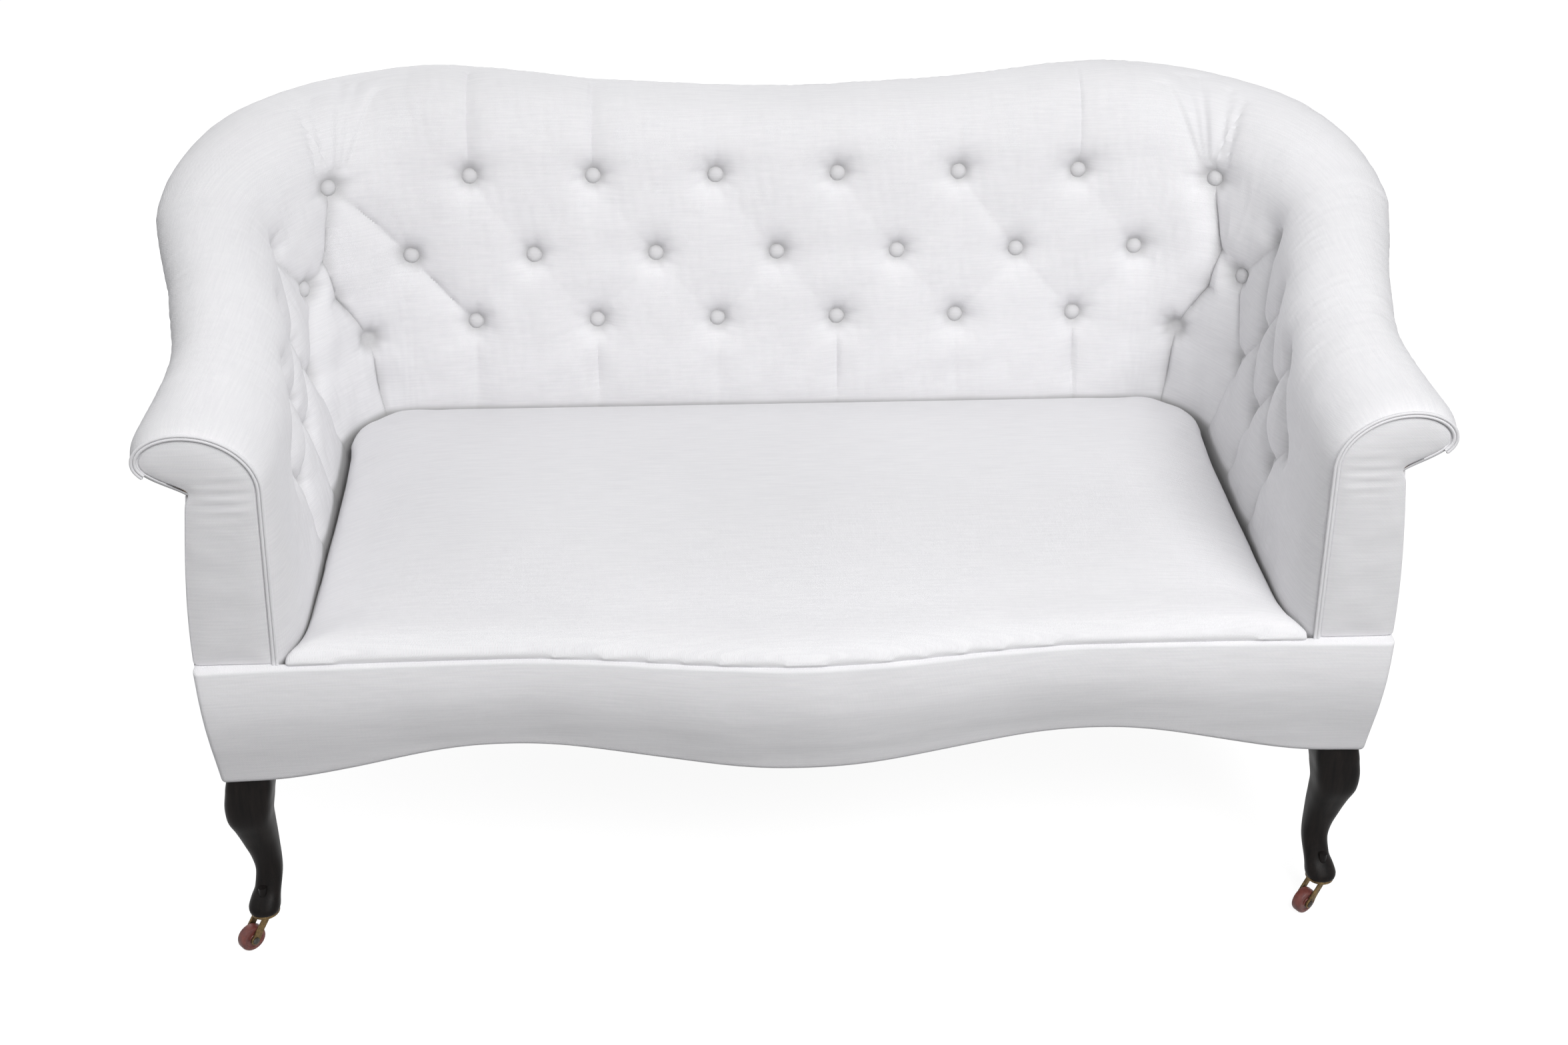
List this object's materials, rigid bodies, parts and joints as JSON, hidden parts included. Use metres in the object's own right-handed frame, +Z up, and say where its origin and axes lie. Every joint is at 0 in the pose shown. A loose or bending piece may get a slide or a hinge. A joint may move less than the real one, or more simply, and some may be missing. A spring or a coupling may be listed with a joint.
{
  "type": "button back sofa",
  "caption": "Low upholstered sofa with a serpentine front, deep-buttoned tub back, rolled scroll arms, sprung domed seat and dark cabriole legs on swivel castors.",
  "frame": {"origin": "on the floor under the middle of the whole sofa", "axes": "+X towards the sitter's left along the sofa's length, -Y to the front, +Z up"},
  "size_m": [1.5088, 0.786, 0.8169],
  "materials": {
    "linen_cover": "plain woven off-white linen, matt",
    "hessian": "coarse natural jute",
    "cambric": "black cambric",
    "spring_steel": "coppered spring wire",
    "beech_frame": "sawn beech, unfinished",
    "ebonised_leg": "ebonised and waxed, satin",
    "castor_brass": "aged brass",
    "castor_iron": "dark iron pin",
    "castor_wheel": "turned hardwood, dark red brown"
  },
  "bodies": {
    "sofa": {"inside_back": "linen_cover", "inside_arm_left": "linen_cover", "inside_arm_right": "linen_cover", "outside_back": "linen_cover", "outside_arm_left": "linen_cover", "outside_arm_right": "linen_cover", "arm_facing_left": "linen_cover", "arm_facing_right": "linen_cover", "facing_piping_left": "linen_cover", "facing_piping_right": "linen_cover", "front_border": "linen_cover", "seat_pad": "linen_cover", "back_hessian": "hessian", "arm_hessian_left": "hessian", "arm_hessian_right": "hessian", "seat_hessian": "hessian", "seat_webbing": "hessian", "dust_cover": "cambric", "seat_springs": "spring_steel", "back_top_rail": "beech_frame", "arm_top_rail_left": "beech_frame", "arm_top_rail_right": "beech_frame", "back_stuffing_rail": "beech_frame", "arm_stuffing_rail_left": "beech_frame", "arm_stuffing_rail_right": "beech_frame", "back_upright_centre": "beech_frame", "back_upright_left": "beech_frame", "back_upright_right": "beech_frame", "corner_upright_left": "beech_frame", "corner_upright_right": "beech_frame", "arm_upright_left": "beech_frame", "arm_upright_right": "beech_frame", "arm_front_board_left": "beech_frame", "arm_front_board_right": "beech_frame", "rear_seat_rail": "beech_frame", "side_seat_rail_left": "beech_frame", "side_seat_rail_right": "beech_frame", "front_seat_rail": "beech_frame", "front_corner_block_left": "beech_frame", "front_corner_block_right": "beech_frame", "front_leg_left": "ebonised_leg", "front_leg_right": "ebonised_leg", "rear_leg_left": "ebonised_leg", "rear_leg_right": "ebonised_leg", "castor_plate_front_right": "castor_brass", "castor_plate_front_left": "castor_brass", "castor_plate_rear_right": "castor_brass", "castor_plate_rear_left": "castor_brass"},
    "swivel_front_right": {"castor_horn_front_right": "castor_brass", "castor_axle_front_right": "castor_iron"},
    "swivel_front_left": {"castor_horn_front_left": "castor_brass", "castor_axle_front_left": "castor_iron"},
    "swivel_rear_right": {"castor_horn_rear_right": "castor_brass", "castor_axle_rear_right": "castor_iron"},
    "swivel_rear_left": {"castor_horn_rear_left": "castor_brass", "castor_axle_rear_left": "castor_iron"},
    "wheel_front_right": {"castor_wheel_front_right": "castor_wheel"},
    "wheel_front_left": {"castor_wheel_front_left": "castor_wheel"},
    "wheel_rear_right": {"castor_wheel_rear_right": "castor_wheel"},
    "wheel_rear_left": {"castor_wheel_rear_left": "castor_wheel"}
  },
  "joints": [
    {"name": "swivel_front_right_turn", "type": "hinge", "parent": "sofa", "child": "swivel_front_right", "pos_m": [0.619, -0.36454, 0.038], "axis": [0, 0, 1], "continuous": true},
    {"name": "swivel_front_left_turn", "type": "hinge", "parent": "sofa", "child": "swivel_front_left", "pos_m": [-0.619, -0.36454, 0.038], "axis": [0, 0, 1], "continuous": true},
    {"name": "swivel_rear_right_turn", "type": "hinge", "parent": "sofa", "child": "swivel_rear_right", "pos_m": [0.59672, 0.2993, 0.038], "axis": [0, 0, 1], "continuous": true},
    {"name": "swivel_rear_left_turn", "type": "hinge", "parent": "sofa", "child": "swivel_rear_left", "pos_m": [-0.59672, 0.2993, 0.038], "axis": [0, 0, 1], "continuous": true},
    {"name": "wheel_front_right_roll", "type": "hinge", "parent": "swivel_front_right", "child": "wheel_front_right", "pos_m": [0.60034, -0.3762, 0.0155], "axis": [-0.5299, 0.848, 0], "continuous": true},
    {"name": "wheel_front_left_roll", "type": "hinge", "parent": "swivel_front_left", "child": "wheel_front_left", "pos_m": [-0.63535, -0.37926, 0.0155], "axis": [-0.6691, 0.7431, 0], "continuous": true},
    {"name": "wheel_rear_right_roll", "type": "hinge", "parent": "swivel_rear_right", "child": "wheel_rear_right", "pos_m": [0.60425, 0.31998, 0.0155], "axis": [0.9397, -0.342, 0], "continuous": true},
    {"name": "wheel_rear_left_roll", "type": "hinge", "parent": "swivel_rear_left", "child": "wheel_rear_left", "pos_m": [-0.60705, 0.31873, 0.0155], "axis": [0.8829, 0.4695, 0], "continuous": true}
  ]
}
